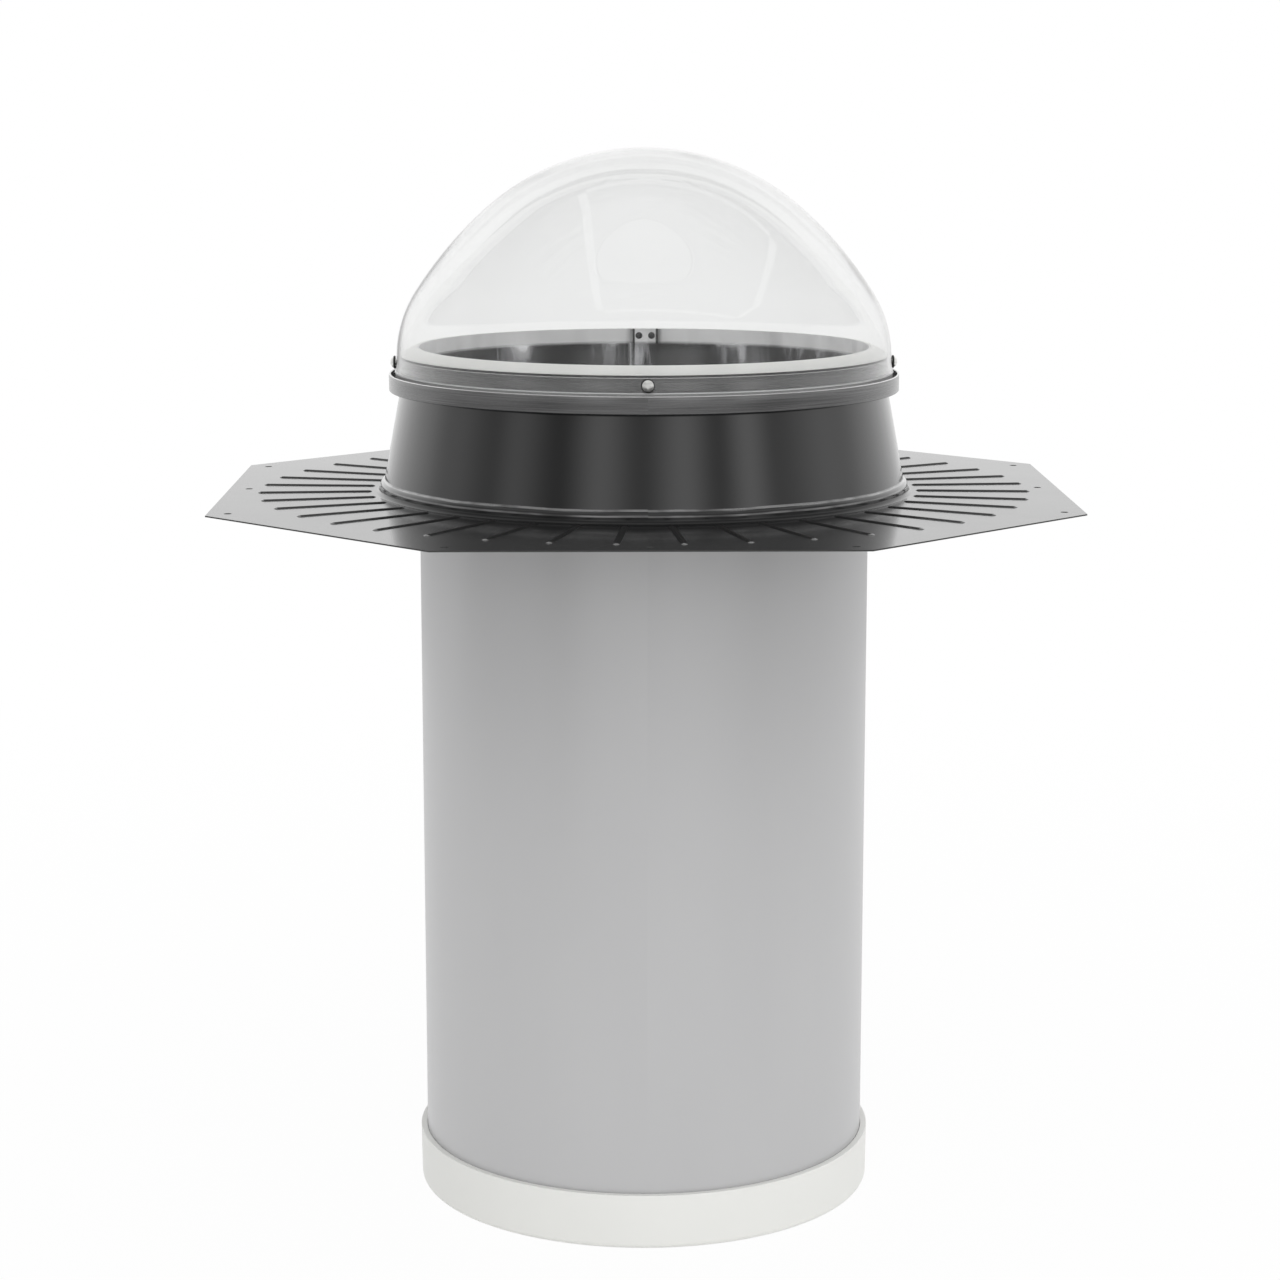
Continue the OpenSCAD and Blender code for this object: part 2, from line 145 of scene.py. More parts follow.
# %% A node tree
class Paint:
    def __init__(self, owner):
        owner.use_nodes = True
        self.owner, self.tree = owner, owner.node_tree
        self.tree.nodes.clear()

    def put(self, socket, value):
        """Links a socket or sets its value, where a colour may leave out its alpha."""
        if isinstance(value, Sock):
            self.tree.links.new(value.socket, socket)
        elif hasattr(value, "__len__") and len(socket.default_value) == len(value) + 1:
            socket.default_value = (*value, 1)
        else:
            socket.default_value = value

    def add(self, kind, settings=None, inputs=None):
        """Any node: its settings first, then the values or links of its sockets."""
        node = self.tree.nodes.new(kind)
        for name, value in (settings or {}).items():
            if name == "stops":
                self.set_stops(node.color_ramp, value)
            else:
                setattr(node, name, value)
        for name, value in (inputs or {}).items():
            self.put(node.inputs[name], value)
        return Node(self, node)

    def set_stops(self, ramp, stops):
        """Grey levels of a soft ramp, each at its place from 0 to 1."""
        ramp.interpolation = "EASE"
        while len(ramp.elements) < len(stops):
            ramp.elements.new(0.5)
        for element, (place, level) in zip(ramp.elements, stops):
            element.position, element.color = place, (level, level, level, 1)

    def math(self, operation, *values):
        return self.add("ShaderNodeMath", {"operation": operation}, dict(enumerate(values)))["Value"]

    def mix(self, factor, one, two):
        """Blends two colours."""
        return self.add("ShaderNodeMix", {"data_type": "RGBA"}, {0: factor, 6: one, 7: two})[2]

    def blend(self, factor, one, two):
        """Blends two shaders."""
        return self.add("ShaderNodeMixShader", {}, {0: factor, 1: one, 2: two})["Shader"]

    def place(self, scale=(1, 1, 1)):
        """Object coordinates in metres, stretched by a Mapping node."""
        coords = self.add("ShaderNodeTexCoord")["Object"]
        return self.add("ShaderNodeMapping", {}, {"Vector": coords, "Scale": scale})["Vector"]

    def noise(self, where, scale, detail=2.0, roughness=0.5):
        return self.add("ShaderNodeTexNoise", {}, {"Vector": where, "Scale": scale, "Detail": detail,
                                                   "Roughness": roughness})["Fac"]

    def split(self, where=None):
        """The x, y and z of Object coordinates or of another vector."""
        where = where or self.add("ShaderNodeTexCoord")["Object"]
        node = self.add("ShaderNodeSeparateXYZ", {}, {"Vector": where})
        return node["X"], node["Y"], node["Z"]

    def radius(self):
        """The distance from the tube's axis."""
        x, y, z = self.split()
        return self.math("SQRT", x * x + y * y)

    def bump(self, height, distance, **more):
        return self.add("ShaderNodeBump", {}, {"Height": height, "Distance": distance,
                                               "Strength": 1.0, **more})["Normal"]

    def surface(self, **inputs):
        """Ends the tree in one Principled shader; a name's underscores are spaces."""
        named = {name.replace("_", " "): value for name, value in inputs.items()}
        return self.output(self.add("ShaderNodeBsdfPrincipled", {}, named)["BSDF"])

    def output(self, shader, kind="ShaderNodeOutputMaterial"):
        self.add(kind, {}, {"Surface": shader})
        return self.owner


def new_paint(name):
    return Paint(bpy.data.materials.new(name))


print("node trees ready")

# %% [markdown]
# ## Studio
# The background is plain white. The world gives a soft even light of about 1, so that a colour
# renders as it is written. In front of the object the studio is a little darker and hung with
# tall soft panels, which is what paints the soft upright bands on black and silver metal. Two
# soft colour ramps that run once round the horizon hold the panels and the pale gaps below them.

# %% World
BACK_LIGHT, BACK_TURN = 1.0, (0.0, 0.45)
DIM_LIGHT, PANEL_LIGHT, PANEL_TOPS = 0.30, 1.35, (0.25, 0.5)
TOP_LIGHT, TOP_TURN = 0.62, (0.45, 0.8)
LOW_LIGHT, LOW_LOSS, HORIZON = 0.45, 0.2, (-0.1, 0.08)
# Directions in degrees, 0 straight in front, and how bright each is.
PANELS = [(-180, 0), (-112, 0.15), (-92, 0.4), (-73, 0.2), (-60, 0.5), (-39, 0.05), (-20, 0.8),
          (-2, 0.2), (17, 0.9), (33, 0.2), (47, 0.95), (61, 0.3), (86, 0.6), (112, 0.3), (180, 0)]
LOW_GAPS = [(-180, 0.9), (-62, 0.9), (-43, 0.2), (-26, 1.0), (38, 1.0), (55, 0.2), (74, 0.9),
            (180, 0.9)]


def round_the_horizon(paint, turn, row):
    stops = [(0.5 + degrees / 360, level) for degrees, level in row]
    return paint.add("ShaderNodeValToRGB", {"stops": stops}, {"Fac": turn})["Color"]


def make_world():
    paint = Paint(bpy.data.worlds.new("studio"))
    x, y, z = paint.split(paint.add("ShaderNodeTexCoord")["Generated"])
    turn = paint.math("ARCTAN2", x, y * -1) / math.tau + 0.5
    panels = round_the_horizon(paint, turn, PANELS)
    gaps = round_the_horizon(paint, turn, LOW_GAPS)
    low = 1 - z.smooth(*HORIZON)
    level = DIM_LIGHT + panels * (1 - z.smooth(*PANEL_TOPS)) * PANEL_LIGHT
    level = level + low * (gaps * LOW_LIGHT - level)
    level = level + y.smooth(*BACK_TURN) * (BACK_LIGHT - low * LOW_LOSS - level)
    level = level + z.smooth(*TOP_TURN) * (TOP_LIGHT - level)
    path = paint.add("ShaderNodeLightPath")
    seen = paint.math("MAXIMUM", path["Is Camera Ray"], path["Is Transmission Ray"])
    light = paint.add("ShaderNodeBackground", {}, {"Color": (1, 1, 1),
                                                   "Strength": level + seen * (1 - level)})
    paint.output(light["Background"], "ShaderNodeOutputWorld")
    bpy.context.scene.world = paint.owner


make_world()
print("world with", len(PANELS) - 2, "panel edges")

# %% [markdown]
# ## Floor
# A plain pale floor. The camera sees it mostly at full white, so that it melts into the
# background, while a share of it stays lit by the studio and keeps the object's shadow. Its
# underside is clear, so that the object can also be looked at from below.

# %% Floor
FLOOR_RADIUS = 2.2
FLOOR_DROP = 0.1 * MM
FLOOR_SHOWN = 0.96
FLOOR_FADE = (0.5, FLOOR_RADIUS * 0.9)


def floor_paper():
    paint = new_paint("floor_paper")
    path = paint.add("ShaderNodeLightPath")
    colour = paint.mix(paint.noise(paint.place(), 6.0), (0.90, 0.90, 0.89), (0.93, 0.93, 0.92))
    matt = paint.add("ShaderNodeBsdfDiffuse", {}, {"Color": colour})
    white = paint.add("ShaderNodeEmission", {}, {"Color": (1, 1, 1), "Strength": 1.0})
    seen = paint.math("MAXIMUM", path["Is Camera Ray"], path["Is Transmission Ray"])
    seen = paint.math("MAXIMUM", seen, path["Is Glossy Ray"])
    share = seen * (FLOOR_SHOWN + paint.radius().smooth(*FLOOR_FADE) * (1 - FLOOR_SHOWN))
    above = paint.blend(share, matt["BSDF"], white["Emission"])
    below = paint.add("ShaderNodeNewGeometry")["Backfacing"]
    return paint.output(paint.blend(below, above, paint.add("ShaderNodeBsdfTransparent")["BSDF"]))


def make_floor():
    mesh = bmesh.new()
    bmesh.ops.create_circle(mesh, cap_ends=True, segments=128, radius=FLOOR_RADIUS)
    bmesh.ops.translate(mesh, verts=mesh.verts, vec=(0, 0, -FLOOR_DROP))
    data = bpy.data.meshes.new("floor")
    mesh.to_mesh(data)
    mesh.free()
    floor = bpy.data.objects.new("floor", data)
    bpy.context.scene.collection.objects.link(floor)
    data.materials.append(floor_paper())
    print("floor", 2 * FLOOR_RADIUS, "m across")


make_floor()

# %% [markdown]
# ## Lamps
# A large soft panel hangs level above the object, a little to the right. The dome mirrors it as a
# pale four-sided patch. Its cloth is brighter along the border, which draws the patch's outline,
# so four narrow lamps are set round one wide lamp. Two fill lamps, which no gloss mirrors, lift
# the matt white pieces without painting new shapes on the black paint.

# %% Lamps
PANEL_PLACE, PANEL_SIZE = Vector((0.57, -0.15, 2.9)), 2.54
BORDER = 0.13
CLOTH_LIGHT, BORDER_LIGHT = 0.05, 0.5
MIDDLE = Vector((0, 0, 0.4))
FILLS = {"front_fill": (Vector((0.2, -2.6, 2.1)), 2.2, 1.35),
         "top_fill": (Vector((0.3, -0.4, 3.2)), 2.6, 1.1)}


def soft_lamp(name, place, width, depth, radiance, aim=None, mirrored=True):
    """A rectangular lamp of even brightness, level or turned to shine at a point."""
    data = bpy.data.lights.new(name, "AREA")
    data.shape = "RECTANGLE"
    data.size, data.size_y = width, depth
    data.energy = math.pi * width * depth * radiance
    lamp = bpy.data.objects.new(name, data)
    lamp.location = place
    if aim is not None:
        lamp.rotation_mode = "QUATERNION"
        lamp.rotation_quaternion = (aim - place).to_track_quat("-Z", "Y")
    lamp.visible_camera = False
    lamp.visible_glossy = mirrored
    lamp.visible_transmission = mirrored
    bpy.context.scene.collection.objects.link(lamp)
    print(name, "gives", round(data.energy, 2), "W")


soft_lamp("panel_cloth", PANEL_PLACE, PANEL_SIZE, PANEL_SIZE, CLOTH_LIGHT)
for side in (-1, 1):
    reach = side * (PANEL_SIZE + BORDER) / 2
    soft_lamp("panel_side_%d" % (side + 2), PANEL_PLACE + Vector((reach, 0, 0)), BORDER, PANEL_SIZE,
              BORDER_LIGHT)
    soft_lamp("panel_end_%d" % (side + 2), PANEL_PLACE + Vector((0, reach, 0)), PANEL_SIZE, BORDER,
              BORDER_LIGHT)
for name, (place, size, radiance) in FILLS.items():
    soft_lamp(name, place, size, size, radiance, MIDDLE, False)

# %% [markdown]
# ## Spinning a section
# The dome and its ring are round, so each is one section outline. The outline is drawn once in the
# XZ plane and spun round the tube's axis, as a lathe or a spinning bench would. A cylinder cut by
# booleans would do too, but it would give no say in how fine each curve is.


# %% Section helpers
TURN_STEPS = 192
SHARP_ANGLE = math.radians(32)
CLOSE = 1e-6


def arc(centre_r, centre_z, radius, start, end, steps):
    """Points of a round stretch of a section, with angles in degrees and lengths in metres."""
    angles = [math.radians(start + (end - start) * i / steps) for i in range(steps + 1)]
    return [(centre_r + radius * math.cos(a), centre_z + radius * math.sin(a)) for a in angles]


def spun(outline):
    """A closed outline of (radius, height) points, spun once round the Z axis."""
    mesh = bmesh.new()
    points = [mesh.verts.new((r, 0, z)) for r, z in outline]
    edges = [mesh.edges.new(pair) for pair in zip(points, points[1:] + points[:1])]
    bmesh.ops.spin(mesh, geom=points + edges, cent=(0, 0, 0), axis=(0, 0, 1), dvec=(0, 0, 0),
                   angle=math.tau, steps=TURN_STEPS, use_merge=True, use_duplicate=False)
    bmesh.ops.remove_doubles(mesh, verts=mesh.verts, dist=CLOSE)
    bmesh.ops.recalc_face_normals(mesh, faces=mesh.faces)
    print("spun", len(outline), "points into", len(mesh.faces), "faces")
    return mesh


# %% [markdown]
# A spun mesh becomes a piece of the object when it rides on the body that carries it and says
# which imported node it stands for. It is shaded smooth, but for the edges that are sharp on the
# real piece.


# %% Finished pieces
def finished(name, mesh, material, slot, *nodes):
    """Turns a bmesh into a piece of the object that stands for the given nodes."""
    data = bpy.data.meshes.new(name)
    mesh.to_mesh(data)
    mesh.free()
    data.shade_smooth()
    data.set_sharp_from_angle(angle=SHARP_ANGLE)
    data.materials.append(material)
    piece = bpy.data.objects.new(name, data)
    bpy.context.scene.collection.objects.link(piece)
    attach(piece, "root")
    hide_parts(*nodes)
    print(name, "stands for", nodes, "with", len(data.vertices), "points")


# %% [markdown]
# ## Dome
# The dome is blown from clear acrylic sheet. Its section is a flared skirt, a tight shoulder, a
# long flank and a round crown. Each stretch is an arc that starts where the last one ends, and in
# the same direction, so the reflections run over the joins without a kink. A squashed sphere
# would be quicker, but its flank would be too round.

# %% Dome section
DOME_WALL = 2.4 * MM
SKIRT_HEIGHT, SKIRT_FLARE = 10.1 * MM, 1.6 * MM
SHOULDER_R, SHOULDER_END = 86.7 * MM, 32.7
FLANK_R, FLANK_END = 288 * MM, 48.7
CROWN_END = 90
FLARE_STEPS, SHOULDER_STEPS, FLANK_STEPS, CROWN_STEPS = 6, 20, 16, 28
dome_low, dome_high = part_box("dome")
dome_r = dome_high.x - SKIRT_FLARE


def dome_line(depth):
    """The dome's section at this depth under its outer face, from the skirt to the crown."""
    flare_r = (SKIRT_HEIGHT ** 2 + SKIRT_FLARE ** 2) / (2 * SKIRT_FLARE)
    start_z = dome_low.z + SKIRT_HEIGHT
    flare = math.degrees(math.asin(SKIRT_HEIGHT / (flare_r + depth)))
    turn, bend = math.radians(SHOULDER_END), math.radians(FLANK_END)
    flank_x = dome_r - SHOULDER_R + (SHOULDER_R - FLANK_R) * math.cos(turn)
    flank_z = start_z + (SHOULDER_R - FLANK_R) * math.sin(turn)
    crown_r = FLANK_R + flank_x / math.cos(bend)
    crown_z = flank_z + (FLANK_R - crown_r) * math.sin(bend)
    return (arc(dome_r + flare_r, start_z, flare_r + depth, 180 + flare, 180, FLARE_STEPS)
            + arc(dome_r - SHOULDER_R, start_z, SHOULDER_R - depth, 0, SHOULDER_END,
                  SHOULDER_STEPS)[1:]
            + arc(flank_x, flank_z, FLANK_R - depth, SHOULDER_END, FLANK_END, FLANK_STEPS)[1:]
            + arc(0, crown_z, crown_r - depth, FLANK_END, CROWN_END, CROWN_STEPS)[1:])


print("crown", round(dome_line(0)[-1][1], 5), "packed", round(dome_high.z, 5))

# %% [markdown]
# Acrylic bends light a little less than glass and takes a little of it away. A full glass shader
# would cast a dark shadow into the tube, so shadow rays pass a clear sheet instead. The sheet is
# never quite flat or clean: a slow ripple bends its reflections and fine scuffs dull them. Its
# lower edge is sawn, which leaves it matt and white, and this white also paints the bright line
# of light that the edge catches.

# %% Clear acrylic
ACRYLIC_TINT = (0.945, 0.948, 0.946)
SHADOW_TINT = (0.98, 0.98, 0.98)
SAWN_WHITE_AND_HIGHLIGHT = (0.8, 0.81, 0.81)
SAWN_HEIGHT, SAWN_SHARE = 0.4 * MM, 0.7
NO_EDGE = -1.0


def acrylic(name, tint, edge_z=NO_EDGE):
    """Clear sheet; below edge_z it shows the matt white of a sawn edge, partly a painted highlight."""
    paint = new_paint(name)
    x, y, z = paint.split()
    path = paint.add("ShaderNodeLightPath")
    ripple = paint.noise(paint.place(), 9.0, 1.0)
    scuff = paint.noise(paint.place(), 160.0, 3.0)
    clear = paint.add("ShaderNodeBsdfPrincipled", {}, {
        "Base Color": tint, "Transmission Weight": 1.0, "IOR": 1.49,
        "Roughness": scuff.smooth(0.55, 0.8) * 0.02, "Normal": paint.bump(ripple, 0.6 * MM)})
    through = paint.add("ShaderNodeBsdfTransparent", {}, {"Color": SHADOW_TINT})
    sheet = paint.blend(path["Is Shadow Ray"], clear["BSDF"], through["BSDF"])
    # The sawn edge's white is partly its matt frosting and partly a painted highlight.
    sawn_and_highlight = paint.add("ShaderNodeBsdfPrincipled", {}, {"Base Color": SAWN_WHITE_AND_HIGHLIGHT, "Roughness": 0.45})
    edge = (1 - z.smooth(edge_z, edge_z + SAWN_HEIGHT)) * SAWN_SHARE
    return paint.output(paint.blend(edge, sheet, sawn_and_highlight["BSDF"]))


dome_mesh = spun(dome_line(0) + dome_line(DOME_WALL)[::-1])
dome_clear = acrylic("clear_acrylic_finish", ACRYLIC_TINT, dome_low.z + 0.3 * MM)
finished("dome_shell", dome_mesh, dome_clear, "clear_acrylic", "dome")

# %% [markdown]
# ## Dome ring
# The grey ring is rolled from metal strip: an upright wall stands inside the dome's skirt, and a
# gutter with a lip catches the water that runs off it. Its section has only square corners, so it
# is drawn as they are, spun, and then every sharp edge is bevelled at once, as a roller leaves it.

# %% Ring section
RING_WALL = 1.4 * MM
RING_INSIDE = 176.4 * MM
GUTTER_FLOOR = 1.5 * MM
LIP_HEIGHT, LIP_WALL = 12.4 * MM, 1.5 * MM
EDGE_ROUND, EDGE_STEPS = 0.6 * MM, 4
ring_low, ring_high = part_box("dome_ring")
lip_r, lip_top = ring_high.x, ring_low.z + LIP_HEIGHT


def ring_section():
    floor_z, wall_r = ring_low.z + GUTTER_FLOOR, RING_INSIDE + RING_WALL
    return [(RING_INSIDE, ring_low.z), (lip_r, ring_low.z), (lip_r, lip_top),
            (lip_r - LIP_WALL, lip_top), (lip_r - LIP_WALL, floor_z), (wall_r, floor_z),
            (wall_r, ring_high.z), (RING_INSIDE, ring_high.z)]


def soften(mesh):
    """Rounds every sharp edge of a spun ring a little."""
    sharp = [e for e in mesh.edges if len(e.link_faces) == 2 and e.calc_face_angle() > SHARP_ANGLE]
    bmesh.ops.bevel(mesh, geom=sharp, offset=EDGE_ROUND, offset_type="OFFSET", segments=EDGE_STEPS,
                    profile=0.5, affect="EDGES", material=-1, clamp_overlap=True)
    print("rounded", len(sharp), "edges")
    return mesh


ring_mesh = soften(spun(ring_section()))

# %% [markdown]
# Rolling leaves fine marks that run round the ring. They come from noise on a vector that follows
# a round piece: it is stretched far along the turn and squeezed in height, so each speck becomes
# a long scratch. The wall is painted darker than the lip, which is painted shade under the dome's
# skirt, and the top edges carry painted highlights in pale metal.


# %% Ring finish
def around(paint, turns, heights, radii=0.0):
    """A vector that follows a round piece: once round it, up it and out from its axis."""
    x, y, z = paint.split()
    turn = paint.math("ARCTAN2", x, y)
    return paint.add("ShaderNodeCombineXYZ", {}, {"X": turn * turns, "Y": z * heights,
                                                  "Z": paint.radius() * radii})["Vector"]


# The last colour is the pale metal of the painted highlights on the top edges.
RING_DARK, RING_PALE, RING_HIGHLIGHT_METAL = (0.025, 0.025, 0.025), (0.20, 0.20, 0.202), (0.72, 0.72, 0.72)
# The wall keeps only this share of the streaks' pale tone: painted shade.
SHADED_WALL_SHARE = 0.15
WALL_ENDS, LIP_STARTS = 179 * MM, 181 * MM
# How far under each top edge the painted highlights begin and become full.
HIGHLIGHT_LOW, HIGHLIGHT_HIGH = 0.7 * MM, 0.3 * MM


def ring_metal():
    paint = new_paint("grey_ring_metal_finish")
    x, y, z = paint.split()
    radius = paint.radius()
    fine = paint.noise(around(paint, 3.0, 2600.0, 2600.0), 1.0, 4.0, 0.6)
    streaks = paint.noise(around(paint, 2.4, 700.0, 700.0), 1.0, 3.0, 0.6)
    # Painted highlights along the top edges of the lip and the wall.
    lip_highlight = z.smooth(lip_top - HIGHLIGHT_LOW, lip_top - HIGHLIGHT_HIGH)
    lip_highlight = lip_highlight * radius.smooth(lip_r - 1.7 * MM, lip_r - LIP_WALL)
    wall_highlight = z.smooth(ring_high.z - HIGHLIGHT_LOW, ring_high.z - HIGHLIGHT_HIGH) * 0.7
    painted_edge_highlight = paint.math("MAXIMUM", lip_highlight, wall_highlight)
    # The darker wall inside the dome's skirt is painted shade.
    lip = radius.smooth(WALL_ENDS, LIP_STARTS)
    grey = paint.mix(streaks * (SHADED_WALL_SHARE + lip * (1 - SHADED_WALL_SHARE)), RING_DARK, RING_PALE)
    return paint.surface(
        Base_Color=paint.mix(painted_edge_highlight, grey, RING_HIGHLIGHT_METAL), Metallic=0.3 + painted_edge_highlight * 0.6,
        Roughness=0.27 + (fine - 0.5) * 0.22 + (streaks - 0.5) * 0.1,
        Coat_Weight=0.9, Coat_Roughness=0.16, Normal=paint.bump(fine + streaks, 0.04 * MM))


finished("dome_ring_rolled", ring_mesh, ring_metal(), "grey_ring_metal", "dome_ring")

# %% [markdown]
# ## White mouldings
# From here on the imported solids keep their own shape, and each only gets its finish in its
# material slot. The ring in the top of the turret and the ring in the ceiling are moulded in white
# plastic. It is smooth and a little glossy, and it carries the very fine grain of its mould. The
# white is kept under 1 and a touch warm, so that it doesn't clip.


# %% White moulding
def dress(node, material):
    """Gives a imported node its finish."""
    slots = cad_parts[node].data.materials
    if slots:
        slots[0] = material
    else:
        slots.append(material)
    print(node, "wears", material.name)


def moulding(name, light, shadow):
    paint = new_paint(name)
    cloud = paint.noise(paint.place(), 10.0, 2.0)
    grain = paint.noise(paint.place(), 900.0, 3.0, 0.6)
    return paint.surface(Base_Color=paint.mix(cloud, shadow, light),
                         Roughness=0.42 + (grain - 0.5) * 0.14, Specular_IOR_Level=0.45,
                         Normal=paint.bump(grain, 0.03 * MM))


white_plastic = moulding("white_moulding_finish", (0.95, 0.952, 0.925), (0.92, 0.922, 0.895))
for node in ("tube_ring", "ceiling_ring"):
    dress(node, white_plastic)

# %% [markdown]
# ## Roof flashing
# The turret, its foot and the square flange are one sheet, painted black before it was pressed.
# Where the paint is dull and where light is painted follows from the shape, so each place is a mask
# of the height above the flange and of the distance from the axis. The two turns of the rolled foot
# carry painted highlights: pale metal lines that wave a little and come and go. The pressed beads
# are dull, with painted highlights on their outer ends. The flange has less gloss than the turret,
# and it is painted greyer towards its edge, as painted light where the turret shades it less.

# %% Where the paint is dull and where light is painted
SHEET = 1 * MM
FLANGE_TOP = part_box("roof_flashing")[0].z + SHEET
# Heights in millimetres above the flange, as start, rise, fall and end of each soft band.
FOOT_TURN, FOOT_LEDGE, FOOT_UNDER = (8.3, 9.0, 9.6, 10.3), (4.8, 5.4, 6.0, 6.8), (0.8, 2.8, 4.2, 5.5)
FLAT_ENDS, BEAD_RISES = (1.5, 3.5), (0.12, 0.35)
# Distances from the axis in metres.
FOOT_ENDS, BEAD_STARTS = (0.197, 0.199), (0.1985, 0.1995)
BEAD_TIPS, PAINTED_LIGHT_SPAN = (0.2800, 0.2815), (0.225, 0.295)
WAVE = 1.8
LEDGE_SHARE, TIP_SHARE = 0.48, 0.8


def painted_light_and_wear_masks(paint):
    """Painted highlights, the hollow under the roll, the flat flange, the beads and painted light."""
    x, y, z = paint.split()
    radius = paint.radius()
    height = (z - FLANGE_TOP) / MM
    waved = height + (paint.noise(around(paint, 4.0, 0.0), 1.0, 1.0) - 0.5) * WAVE
    streaks = paint.noise(around(paint, 7.0, 90.0), 1.0, 2.0).smooth(0.32, 0.62)
    foot = 1 - radius.smooth(*FOOT_ENDS)
    # Painted highlights along the two turns of the foot, in lines that wave and come and go.
    lines = waved.band(*FOOT_TURN) + waved.band(*FOOT_LEDGE) * LEDGE_SHARE
    flat = 1 - height.smooth(*FLAT_ENDS)
    beads = flat * height.smooth(*BEAD_RISES) * radius.smooth(*BEAD_STARTS)
    # Painted highlights on the beads' outer ends.
    tips = beads * radius.smooth(*BEAD_TIPS) * TIP_SHARE
    # The grey edge is painted light: the flange is lighter where the turret shades it less.
    return {"rubbed": lines * foot * (0.3 + streaks * 0.9) + tips,
            "under": foot * height.band(*FOOT_UNDER), "flat": flat, "beads": beads - tips,
            "grey": flat * radius.smooth(*PAINTED_LIGHT_SPAN)}


print("flange top at", round(FLANGE_TOP, 4))

# %% [markdown]
# The paint is semi-gloss enamel: nearly black below, and a clear gloss on top that mirrors the
# panels. Two bumps stacked on each other give it a slow wave and the fine ripple of sprayed paint.

# %% Black paint
PAINT_BLACK, PAINT_DUSTY = (0.004, 0.004, 0.0045), (0.008, 0.008, 0.008)
# The grey of the flange's painted light, the dull bead black and the metal of the painted highlights.
PAINTED_LIGHT_GREY, BEAD_DULL, PAINTED_HIGHLIGHT_GREY = (0.05, 0.05, 0.05), (0.012, 0.012, 0.012), (0.28, 0.28, 0.28)


def black_paint():
    paint = new_paint("black_paint_finish")
    where = paint.place()
    peel = paint.noise(where, 420.0, 2.0)
    waves = paint.noise(where, 16.0, 2.0)
    dust = paint.noise(where, 30.0, 3.0, 0.6)
    painted_light_and_wear = painted_light_and_wear_masks(paint)
    rubbed, beads, under = painted_light_and_wear["rubbed"], painted_light_and_wear["beads"], painted_light_and_wear["under"]
    colour = paint.mix(dust, PAINT_BLACK, PAINT_DUSTY)
    # The flange is painted greyer towards its edge: painted light.
    colour = paint.mix(painted_light_and_wear["grey"] * (1 - beads), colour, PAINTED_LIGHT_GREY)
    colour = paint.mix(beads, colour, BEAD_DULL)
    # The pale grey metal paints the highlights on the foot and on the bead tips.
    return paint.surface(
        Base_Color=paint.mix(rubbed, colour, PAINTED_HIGHLIGHT_GREY), Metallic=rubbed * 0.6,
        Roughness=0.13 + (dust - 0.5) * 0.05 + (peel - 0.5) * 0.03 + beads * 0.35 + under * 0.2,
        IOR=1.3, Coat_Weight=1.0 - painted_light_and_wear["flat"] * 0.5 - beads * 0.5 - under * 0.3,
        Coat_IOR=1.46, Coat_Roughness=0.11,
        Normal=paint.bump(peel, 0.03 * MM, Normal=paint.bump(waves, 0.2 * MM)))


dress("roof_flashing", black_paint())

# %% [markdown]
# ## Light tube
# The tube is rolled from aluminium sheet with a mirror film inside. Outside it is satin silver.
# The two faces are one sheet, so the finish changes at the middle of the wall, by the distance
# from the axis. The film stops short of the rim and leaves a band of bare sheet. At the rear the
# sheet laps over itself, and a dark line of shadow marks both edges of the lap.

# %% Tube sheet
WALL_MIDDLE = 164.6 * MM
FILM_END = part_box("light_tube")[1].z - 10.5 * MM
LAP_MIDDLE, LAP_HALF = 3.4 * MM, 9.0 * MM
LAP_SHADE, LAP_FADE = (0.5 * MM, 1.2 * MM), 30 * MM
SATIN_DARK, SATIN_PALE = (0.53, 0.53, 0.538), (0.57, 0.57, 0.575)
MIRROR, BARE, SHADOW = (0.62, 0.62, 0.63), (0.95, 0.95, 0.95), (0.05, 0.05, 0.05)
SATIN_METAL, MIRROR_ROUGH = 0.36, 0.07
DENTS = 800


def tube_sheet():
    paint = new_paint("tube_aluminium_finish")
    x, y, z = paint.split()
    inside = paint.math("LESS_THAN", paint.radius(), WALL_MIDDLE)
    grain = paint.noise(around(paint, 900.0, 14.0), 1.0, 3.0)
    cloud = paint.noise(around(paint, 2.2, 3.2), 1.0, 2.0)
    dents = paint.noise(around(paint, 5.0, 9.0), 1.0, 1.0)
    bare = inside * z.smooth(FILM_END - 2.5 * MM, FILM_END + 1.5 * MM)
    off_lap = paint.math("ABSOLUTE", paint.math("ABSOLUTE", x - LAP_MIDDLE) - LAP_HALF)
    lap = y.smooth(0.0, 0.01) * (1 - off_lap.smooth(*LAP_SHADE))
    lap = lap * z.smooth(FILM_END - LAP_FADE, FILM_END)
    colour = paint.mix(inside, paint.mix(cloud, SATIN_DARK, SATIN_PALE), MIRROR)
    colour = paint.mix(lap, paint.mix(bare, colour, BARE), SHADOW)
    rough = 0.33 + (grain - 0.5) * 0.10 + (cloud - 0.5) * 0.06
    return paint.surface(
        Base_Color=colour, Metallic=SATIN_METAL + inside * (1 - SATIN_METAL - bare),
        Roughness=rough - inside * (1 - bare) * (rough - MIRROR_ROUGH),
        Normal=paint.bump(grain + dents * inside * DENTS, 0.02 * MM))


dress("light_tube", tube_sheet())

# %% [markdown]
# ## Seals
# Foam and rubber are full of tiny cells, which a Voronoi texture draws: its distance is small in
# the middle of a cell and large at its walls. Foam has large deep cells, and rubber small shallow
# ones. The pile strip in the gutter is a brush of short upright hairs, drawn by noise that is
# squeezed round the ring, with a little sheen on top.


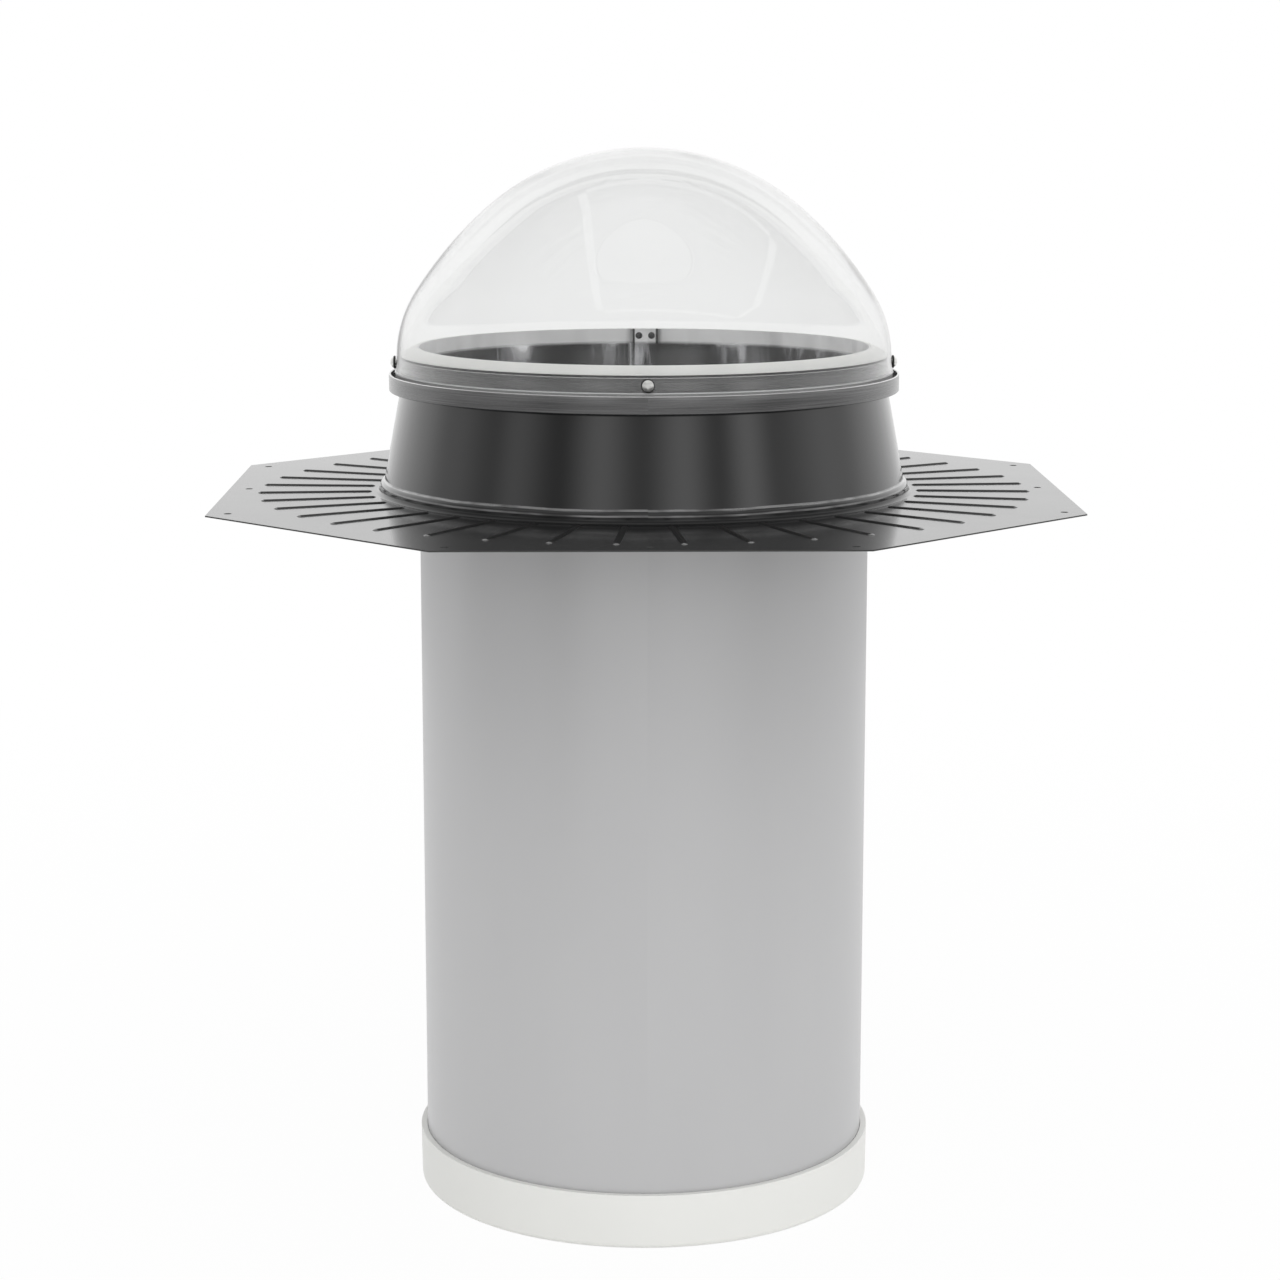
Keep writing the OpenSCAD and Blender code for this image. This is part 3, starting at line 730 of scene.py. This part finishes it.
# %% Soft seals
def foam(name, colour, cell, depth, roughness):
    paint = new_paint(name)
    cells = paint.add("ShaderNodeTexVoronoi", {"feature": "F1"},
                      {"Vector": paint.place(), "Scale": cell})["Distance"]
    tone = paint.mix(cells, [c * 0.7 for c in colour], [c * 1.25 for c in colour])
    return paint.surface(Base_Color=tone, Roughness=roughness - cells * 0.1,
                         Normal=paint.bump(cells, depth))


def pile():
    paint = new_paint("pile_seal_finish")
    tufts = paint.noise(around(paint, 420.0, 90.0, 1500.0), 1.0, 3.0, 0.7)
    tone = paint.mix(tufts, (0.30, 0.30, 0.30), (0.50, 0.50, 0.50))
    return paint.surface(Base_Color=tone, Roughness=0.92, Sheen_Weight=0.35,
                         Normal=paint.bump(tufts, 0.6 * MM))


black_foam = foam("black_foam_finish", (0.03, 0.03, 0.03), 900.0, 0.2 * MM, 0.85)
for node in ("ring_gasket", "rim_seal", "pane_spacer", "pane_gasket"):
    dress(node, black_foam)
dress("screw_washers", foam("black_rubber_finish", (0.018, 0.018, 0.018), 1400.0, 0.04 * MM, 0.6))
dress("weather_seal", pile())

# %% [markdown]
# ## Screws, rivets and wire
# These are small, so one finish with a few numbers does for all: plain metal with fine tool marks
# in its gloss and slow clouds in its colour. The screws are bright, the rivets almost black, and
# the wire ring over the panes is spring steel.

# %% Small metal
TOOL_MARKS = (2600.0, 2600.0, 2600.0)
CLOUDING = 0.06


def metal(name, colour, roughness):
    paint = new_paint(name)
    marks = paint.noise(paint.place(TOOL_MARKS), 1.0, 4.0, 0.6)
    cloud = paint.noise(paint.place(), 14.0, 2.0)
    shade = paint.mix(cloud, [c * (1 - CLOUDING) for c in colour], [c * (1 + CLOUDING) for c in colour])
    return paint.surface(Base_Color=shade, Metallic=1.0,
                         Roughness=roughness + (marks - 0.5) * 0.22 + (cloud - 0.5) * 0.08,
                         Normal=paint.bump(marks, 0.004 * MM))


bright_screw = metal("bright_screw_finish", (0.88, 0.88, 0.86), 0.34)
for node in ("dome_screws", "ring_screws"):
    dress(node, bright_screw)
dress("rim_rivets", metal("dark_rivet_finish", (0.035, 0.035, 0.036), 0.42))
dress("retaining_ring", metal("spring_wire_finish", (0.55, 0.55, 0.56), 0.30))

# %% [markdown]
# ## Foil tape
# The tape over the tube's seam is soft foil, rubbed down by hand. Long creases come from the cell
# walls of a stretched Voronoi texture, and noise crinkles the foil between them.


# %% Foil
def foil():
    paint = new_paint("foil_tape_finish")
    creases = paint.add("ShaderNodeTexVoronoi", {"feature": "DISTANCE_TO_EDGE"},
                        {"Vector": paint.place((1.0, 1.0, 0.45)), "Scale": 52.0})["Distance"]
    crinkle = paint.noise(paint.place((1.0, 1.0, 0.5)), 160.0, 4.0, 0.6)
    tone = paint.mix(crinkle, (0.60, 0.60, 0.61), (0.72, 0.72, 0.72))
    return paint.surface(Base_Color=tone, Metallic=1.0, Roughness=0.24 + crinkle * 0.16,
                         Normal=paint.bump(creases.smooth(0.0, 0.12) + crinkle * 0.6, 0.4 * MM))


dress("seam_tape", foil())

# %% [markdown]
# ## Panes
# Two panes close the tube. The upper one is clear, and takes the same acrylic as the dome. The
# lower one spreads the light: rows of small prisms cross on its face, which two rectified sine
# waves at right angles draw, and frosting roughens them.

# %% Panes
PRISM_PITCH = 4.5 * MM


def frosted():
    paint = new_paint("frosted_pane_finish")
    x, y, z = paint.split()
    step = math.pi / PRISM_PITCH
    ridges = paint.math("ABSOLUTE", paint.math("SINE", (x + y) * step))
    rows = paint.math("ABSOLUTE", paint.math("SINE", (x - y) * step))
    prisms = ridges * rows
    frost = paint.noise(paint.place(), 1200.0, 2.0)
    tone = paint.mix(prisms, (0.86, 0.87, 0.87), (0.95, 0.95, 0.95))
    return paint.surface(Base_Color=tone, Transmission_Weight=0.75, IOR=1.49,
                         Roughness=0.42 + (frost - 0.5) * 0.2,
                         Normal=paint.bump(prisms + frost * 0.1, 1.2 * MM))


dress("upper_pane", acrylic("clear_pane_finish", (0.95, 0.96, 0.955)))
dress("diffuser_pane", frosted())
